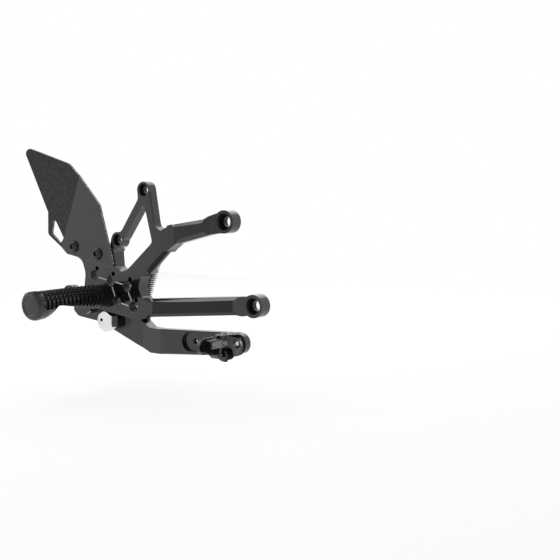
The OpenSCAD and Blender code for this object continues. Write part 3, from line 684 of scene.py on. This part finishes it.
class REARSET_OT_machined_parts(bpy.types.Operator):
    """Gives the bracket, lever, footpeg, toe mount and fold pin their black finishes, with painted shade in
    the holes, on the fold pin and on some faces, and painted light on the upper arm's top bevel
    """

    bl_idname = "rearset.machined_parts"
    bl_label = "Machined Parts"

    def execute(self, context):
        finish = context.scene.rear_set_finish
        dress(["main_bracket"], anodised_black("Anodised Bracket", finish))
        dress(["brake_lever"], anodised_black("Anodised Lever", finish, rough=0.16))
        # Painted shade: the walls of the holes and the fold pin get a dull black
        bore = painted_shade_black("Painted Shade Bore")
        line_holes("main_bracket", POSITION_HOLES + BOSS_HOLES, bore)
        line_holes("brake_lever", (SPARE_HOLE,), bore)
        dress(["footpeg"], anodised_black("Anodised Footpeg", finish, edge=0.22, rough=0.2, ior=1.6))
        dress(["toe_mount"], anodised_black(
            "Blasted Toe Mount", finish, edge=0.15, rough=0.5, color=(0.24, 0.24, 0.243), ior=1.45))
        # Painted shade on the toe mount's forward sides and its stub's side
        shade_faces("toe_mount", painted_shade_black("Painted Shade Mount Flank", 1.08), mount_flank)
        # Painted shade on the face of the stub
        shade_faces("toe_mount", anodised_black("Painted Shade Stub Face", finish, edge=0.04), stub_front)
        # Painted shade on the lower bevels
        shade_faces("main_bracket", anodised_black("Painted Shade Bevel", finish, ior=1.33), lower_bevel)
        # Painted light on the top bevel of the upper arm
        shade_faces("main_bracket", anodised_black(
            "Painted Light Upper Bevel", finish, rough=0.5, color=(0.05, 0.05, 0.0505)), upper_bevel)
        # Painted shade on the face of the lower arm
        shade_faces("main_bracket", anodised_black("Painted Shade Lower Arm Face", finish, ior=1.37), lower_arm_face)
        # The fold pin gets the dull black painted shade
        dress(["toe_peg_pin"], bore)
        return {"FINISHED"}


class REARSET_OT_hardware(bpy.types.Operator):
    """Gives the pivot, cam, posts, pins and screws their metals, with painted shade in the stop screw's
    socket
    """

    bl_idname = "rearset.hardware"
    bl_label = "Hardware"

    def execute(self, context):
        finish = context.scene.rear_set_finish
        dress(["stop_cam"], bare_metal("Turned Aluminium", tuple(finish.bare_metal), 0.34))
        dress(["stop_cam_screw"], bare_metal("Bright Screw Steel", (0.84, 0.84, 0.85), 0.3))
        # Painted shade in the stop screw's socket and on its sides
        shade_faces("stop_cam_screw", painted_shade_black("Painted Shade Socket", 1.1), behind_head_face)
        dress(["toe_mount_screw"], bare_metal("Zinc Plated Steel", (1.0, 1.0, 1.0), 0.2))
        dress(["footpeg_dowel", "toe_pin_clip", "pivot_washer_inner", "pivot_washer_outer",
               "spring_post_upper", "spring_post_lower"], bare_metal("Bare Steel", (0.6, 0.6, 0.61), 0.32))
        dress(["pivot_bush"], bare_metal("Sintered Bronze", (0.66, 0.5, 0.28), 0.4))
        dress(["footpeg_bolt", "pivot_bolt"], anodised_black(
            "Black Oxide Steel", finish, edge=0.2, rough=0.33, color=(0.018, 0.018, 0.019)))
        return {"FINISHED"}


class REARSET_OT_heel_guard(bpy.types.Operator):
    """Gives the heel guard a woven half, a dimpled folded half and sawn edges"""

    bl_idname = "rearset.heel_guard"
    bl_label = "Heel Guard"

    def execute(self, context):
        finish = context.scene.rear_set_finish
        dress(["heel_guard"], woven_carbon("Woven Carbon", finish))
        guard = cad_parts["heel_guard"].data
        guard.materials.append(dimpled_carbon("Dimpled Carbon", finish))
        guard.materials.append(cut_carbon("Cut Carbon Edge"))
        folded, sawn = 1, 2
        for face in guard.polygons:
            if abs(face.normal.y) < 0.3:
                face.material_index = sawn
            elif abs(face.normal.x) > 0.08:
                face.material_index = folded
        return {"FINISHED"}


class REARSET_OT_guard_screws(bpy.types.Operator):
    """Builds the guard's button head screws with their star sockets"""

    bl_idname = "rearset.guard_screws"
    bl_label = "Guard Screws"

    def execute(self, context):
        scene = context.scene
        star = scene.rear_set_detail.star_radius / MM
        material = anodised_black("Black Screw Steel", scene.rear_set_finish, edge=0.4, rough=0.16,
                                  color=(0.006, 0.006, 0.006), ior=1.5)
        shank_r, shank_length = 2.4, 10.0
        head_r, head_h, flat_r, rim = 5.5, 2.75, 3.1, 0.15
        socket, lobes, dome_steps = 1.7, 0.16, 8
        for name, (x, z) in GUARD_SCREWS.items():
            def build(bm, x=x, z=z):
                def ring(radius, out, lobes=0.0):
                    return circle(x, z, radius, GUARD_FACE - out, 72, lobes)

                rings = [ring(shank_r, -shank_length), ring(shank_r, 0.0),
                         ring(head_r - 0.1, 0.0), ring(head_r, rim)]
                for k in range(1, dome_steps):
                    a = math.radians(90.0 * k / dome_steps)
                    rings.append(ring(head_r - (head_r - flat_r) * (1 - math.cos(a)),
                                      rim + (head_h - rim) * math.sin(a)))
                rings.append(ring(flat_r - 0.15, head_h))
                rings.append(ring(star + 0.12, head_h, lobes))
                rings.append(ring(star, head_h - 0.1, lobes))
                rings.append(ring(star, head_h - socket, lobes))
                rings.append(ring(star * 0.5, head_h - socket - 0.2))
                loft(bm, rings)

            piece = make_piece(
                name.replace("guard_screw", "star_screw"), "chassis", material, build)
            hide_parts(name)
        return {"FINISHED"}


class REARSET_OT_return_spring(bpy.types.Operator):
    """Winds the return spring from round wire, hooked over its two posts"""

    bl_idname = "rearset.return_spring"
    bl_label = "Return Spring"

    def execute(self, context):
        detail = context.scene.rear_set_detail
        top = Vector((SPRING_TOP[0], SPRING_Y, SPRING_TOP[1])) * MM
        low = Vector((SPRING_LOW[0], SPRING_Y, SPRING_LOW[1])) * MM
        length = (top - low).length
        up = (top - low).normalized()
        side = Vector((0, 1, 0))
        across = side.cross(up).normalized()
        # Radius of the hooks round the posts, the height where the coils start and points per turn
        hook = 0.0033
        gap = hook + 0.0032
        per_turn = 24
        hook_start, hook_step, hook_points = 30, 14.5, 21
        lead_side, lead_up = 0.0001, 0.0009

        def place(x, y, z):
            return low + across * x + side * y + up * z

        hook_arc = [(hook * math.sin(a), 0.0, hook * math.cos(a))
                    for a in (math.radians(hook_start + hook_step * i) for i in range(hook_points))]
        steps = detail.coil_turns * per_turn
        body = [(detail.coil_radius * math.cos(2 * math.pi * i / per_turn),
                 detail.coil_radius * math.sin(2 * math.pi * i / per_turn),
                 gap + (length - 2 * gap) * i / steps) for i in range(steps + 1)]
        lead_in = [(lead_side, 0.0, hook + lead_up)]
        lead_out = [(lead_side, 0.0, length - hook - lead_up)]
        upper_arc = [(x, y, length - z) for x, y, z in reversed(hook_arc)]
        path = [place(*p) for p in hook_arc + lead_in + body + lead_out + upper_arc]
        material = wound_wire("Drawn Spring Wire")
        piece = make_piece("return_spring_wire", None, material,
                           lambda bm: tube(bm, path, detail.wire_radius))
        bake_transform(piece)
        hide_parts("return_spring")
        return {"FINISHED"}


class REARSET_OT_toe_peg(bpy.types.Operator):
    """Builds the toe peg's block, knurl, bent tongue, a black sheet of painted shade inside the hook, and
    the centre mark of its stub, whose dark ring is painted shade
    """

    bl_idname = "rearset.toe_peg"
    bl_label = "Toe Peg"

    def execute(self, context):
        finish = context.scene.rear_set_finish

        def build_grip(bm):
            for outline, x0, x1 in (TOE_ROOT, TOE_BLOCK, TOE_TONGUE, TOE_STRAND, TOE_FOOT):
                prism(bm, outline, x0, x1, 0.04)

        def build_knurl(bm):
            pyramids(bm, (3.6, 2.2), 4, 2)
            pyramids(bm, (11.1, 2.2), 8, 3)
            prism(bm, *TOE_HIGHLIGHT_RAIL)

        def build_shade_sheet(bm):
            prism(bm, *TOE_SHADE_SHEET)

        def disc(outer, inner, y):
            x, z = STUB_CENTRE
            sizes = ((outer, 0.1), (outer, 0.0), (inner, 0.0), (inner, 0.1))
            return lambda bm: loft(bm, [circle(x, z, radius, y + depth, 24) for radius, depth in sizes])

        grip = make_piece("toe_peg_grip", "toe", anodised_black(
            "Anodised Toe Peg", finish, edge=0.3, rough=0.3, color=(0.02, 0.02, 0.0205), ior=1.5),
            build_grip)
        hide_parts("toe_peg")
        # The pale knurl points and the rail are painted highlights
        make_piece("toe_peg_knurl", "toe", anodised_black(
            "Knurl Painted Highlight", finish, edge=1.0, rough=0.35, color=(0.3, 0.3, 0.303), ior=1.5),
            build_knurl)
        # Painted shade: the black sheet inside the hook and the dark ring of the stub's centre mark
        shade = painted_shade_black("Painted Shade Sheet And Ring", 1.08)
        make_piece("toe_peg_shade_sheet", "toe", shade, build_shade_sheet)
        make_piece("stub_centre_ring", "lever", shade, disc(1.2, 0.55, STUB_FACE - 0.05))
        # A small pale dot in the middle of the stub's centre mark
        make_piece("stub_centre_dot", "lever", bare_metal(
            "Pale Centre Dot", (0.9, 0.9, 0.9), 0.5, metallic=0.3),
            disc(0.5, 0.05, STUB_FACE - 0.07))
        return {"FINISHED"}


class REARSET_OT_spare_thread(bpy.types.Operator):
    """Cuts a fine thread into the lever's spare hole, in a dull black of painted shade"""

    bl_idname = "rearset.spare_thread"
    bl_label = "Spare Thread"

    def execute(self, context):
        x, z, _ = SPARE_HOLE
        wall, crest, pitch, mouth, sides = 2.49, 2.05, 0.8, 1.1, 40

        def build(bm):
            turns = [(wall, mouth)] + [(wall if k % 2 else crest, 1.3 + pitch * k / 2) for k in range(12)]
            loft(bm, [circle(x, z, radius, y, sides) for radius, y in turns], False, False)

        # Painted shade: the thread is a dull black
        make_piece("spare_hole_thread", "lever", painted_shade_black("Painted Shade Thread"), build)
        return {"FINISHED"}


class REARSET_OT_position_lines(bpy.types.Operator):
    """Engraves the short lines between the footpeg's position holes"""

    bl_idname = "rearset.position_lines"
    bl_label = "Position Lines"

    def execute(self, context):
        width = context.scene.rear_set_detail.line_width / MM

        def build(bm):
            for start, end in POSITION_LINES:
                strip(bm, start, end, width, PLATE_FRONT - 0.04, 0.06)

        make_piece("position_lines", "chassis", mark_paint("Engraved Line"), build)
        return {"FINISHED"}


class REARSET_OT_stage(bpy.types.Operator):
    """Lays the pale floor and sets the light and the camera"""

    bl_idname = "rearset.stage"
    bl_label = "Stage"

    def execute(self, context):
        scene = context.scene
        studio = scene.rear_set_studio
        self.floor(studio)
        self.sky(scene, studio)
        self.lamp("Key Lamp", KEY_PLACE, 0.9, studio.key)
        self.lamp("Rear Lamp", REAR_PLACE, 0.7, studio.rear)
        camera = bpy.data.cameras.new("Camera")
        camera.lens = studio.focal
        camera.sensor_width = 36.0
        view = bpy.data.objects.new("Camera", camera)
        scene.collection.objects.link(view)
        azimuth, elevation = math.radians(CAMERA_AZIMUTH), math.radians(CAMERA_ELEVATION)
        back = Vector((math.sin(azimuth) * math.cos(elevation), -math.cos(azimuth) * math.cos(elevation),
                       math.sin(elevation)))
        view.location = CAMERA_PLACE
        view.rotation_euler = (-back).to_track_quat("-Z", "Y").to_euler()
        scene.camera = view
        scene.view_settings.view_transform = "Standard"
        return {"FINISHED"}

    def floor(self, studio):
        mesh = bpy.data.meshes.new("floor")
        corners = [(x * FLOOR_HALF, y * FLOOR_HALF, 0) for x, y in ((-1, -1), (1, -1), (1, 1), (-1, 1))]
        mesh.from_pydata(corners, [], [(0, 1, 2, 3)])
        floor = bpy.data.objects.new("floor", mesh)
        floor.location.z = studio.floor_height
        bpy.context.scene.collection.objects.link(floor)
        material, tree, surface = new_material("White Paper", Roughness=0.9)
        surface.inputs["Base Color"].default_value = (0.9, 0.9, 0.9, 1.0)
        surface.inputs["Specular IOR Level"].default_value = 0.0
        rays = tree.nodes.new("ShaderNodeLightPath")
        glow = node_of(tree, "ShaderNodeEmission",
                       {"Color": (1.0, 1.0, 1.0, 1.0), "Strength": FLOOR_GLOW})
        seen = math_node(tree, "MAXIMUM", rays.outputs["Is Camera Ray"], rays.outputs["Is Glossy Ray"])
        share = math_node(tree, "MULTIPLY", seen, FLOOR_GLOW_SHARE)
        mix = tree.nodes.new("ShaderNodeMixShader")
        tree.links.new(share, mix.inputs[0])
        tree.links.new(surface.outputs[0], mix.inputs[1])
        tree.links.new(glow.outputs[0], mix.inputs[2])
        output = next(n for n in tree.nodes if n.type == "OUTPUT_MATERIAL")
        tree.links.new(mix.outputs[0], output.inputs["Surface"])
        mesh.materials.append(material)

    def sky(self, scene, studio):
        world = bpy.data.worlds.new("Studio")
        scene.world = world
        world.use_nodes = True
        tree = world.node_tree
        light = next(n for n in tree.nodes if n.type == "BACKGROUND")
        rays = tree.nodes.new("ShaderNodeLightPath")
        coords = tree.nodes.new("ShaderNodeTexCoord")
        parts = tree.nodes.new("ShaderNodeSeparateXYZ")
        tree.links.new(coords.outputs["Generated"], parts.inputs[0])
        # White card on the left, a darker room in front and on the right of it
        lean = math_node(tree, "DIVIDE", parts.outputs["X"], parts.outputs["Y"])
        card = node_of(tree, "ShaderNodeMapRange",
                       {1: CARD_LEAN[0], 2: CARD_LEAN[1], 3: studio.room, 4: studio.card},
                       interpolation_type="SMOOTHSTEP")
        tree.links.new(lean, card.inputs[0])
        front = math_node(tree, "LESS_THAN", parts.outputs["Y"], 0.0)
        change = math_node(tree, "MULTIPLY", front, math_node(tree, "SUBTRACT", card.outputs[0], 1.0))
        mirrored = math_node(tree, "MULTIPLY", rays.outputs["Is Glossy Ray"],
                             math_node(tree, "ADD", change, 1.0 - studio.sky))
        plain = math_node(tree, "MULTIPLY_ADD", rays.outputs["Is Camera Ray"], 1.0 - studio.sky, studio.sky)
        strength = math_node(tree, "ADD", mirrored, plain)
        light.inputs["Color"].default_value = (1.0, 1.0, 1.0, 1.0)
        tree.links.new(strength, light.inputs["Strength"])

    def lamp(self, name, place, size, power):
        data = bpy.data.lights.new(name, "AREA")
        data.shape = "SQUARE"
        data.size = size
        data.energy = power
        lamp = bpy.data.objects.new(name, data)
        lamp.location = place
        lamp.rotation_euler = (Vector(LAMP_AIM) - Vector(place)).to_track_quat("-Z", "Y").to_euler()
        bpy.context.scene.collection.objects.link(lamp)


class REARSET_PT_panel(bpy.types.Panel):
    """Lists the sizes, colours and pieces of the rear set"""

    bl_label = "Rear Set"
    bl_idname = "REARSET_PT_panel"
    bl_space_type = "VIEW_3D"
    bl_region_type = "UI"
    bl_category = "Rear Set"

    def draw(self, context):
        layout = self.layout
        for _, prop in GROUPS:
            group = getattr(context.scene, prop)
            box = layout.box()
            for name in group.bl_rna.properties.keys():
                if name not in {"rna_type", "name"}:
                    box.prop(group, name)
        for operator in OPERATORS:
            layout.operator(operator.bl_idname)


GROUPS = (
    (RearSetFinish, "rear_set_finish"),
    (RearSetDetail, "rear_set_detail"),
    (RearSetStudio, "rear_set_studio"),
)
OPERATORS = (
    REARSET_OT_machined_parts,
    REARSET_OT_hardware,
    REARSET_OT_heel_guard,
    REARSET_OT_guard_screws,
    REARSET_OT_return_spring,
    REARSET_OT_toe_peg,
    REARSET_OT_spare_thread,
    REARSET_OT_position_lines,
    REARSET_OT_stage,
)


def register():
    for group, name in GROUPS:
        bpy.utils.register_class(group)
        setattr(bpy.types.Scene, name, PointerProperty(type=group))
    for operator in OPERATORS:
        bpy.utils.register_class(operator)
    bpy.utils.register_class(REARSET_PT_panel)


def unregister():
    bpy.utils.unregister_class(REARSET_PT_panel)
    for operator in reversed(OPERATORS):
        bpy.utils.unregister_class(operator)
    for group, name in reversed(GROUPS):
        delattr(bpy.types.Scene, name)
        bpy.utils.unregister_class(group)


def main():
    register()
    bpy.ops.rearset.machined_parts()
    bpy.ops.rearset.hardware()
    bpy.ops.rearset.heel_guard()
    bpy.ops.rearset.guard_screws()
    bpy.ops.rearset.return_spring()
    bpy.ops.rearset.toe_peg()
    bpy.ops.rearset.spare_thread()
    bpy.ops.rearset.position_lines()
    bpy.ops.rearset.stage()


if __name__ == "__main__":
    main()
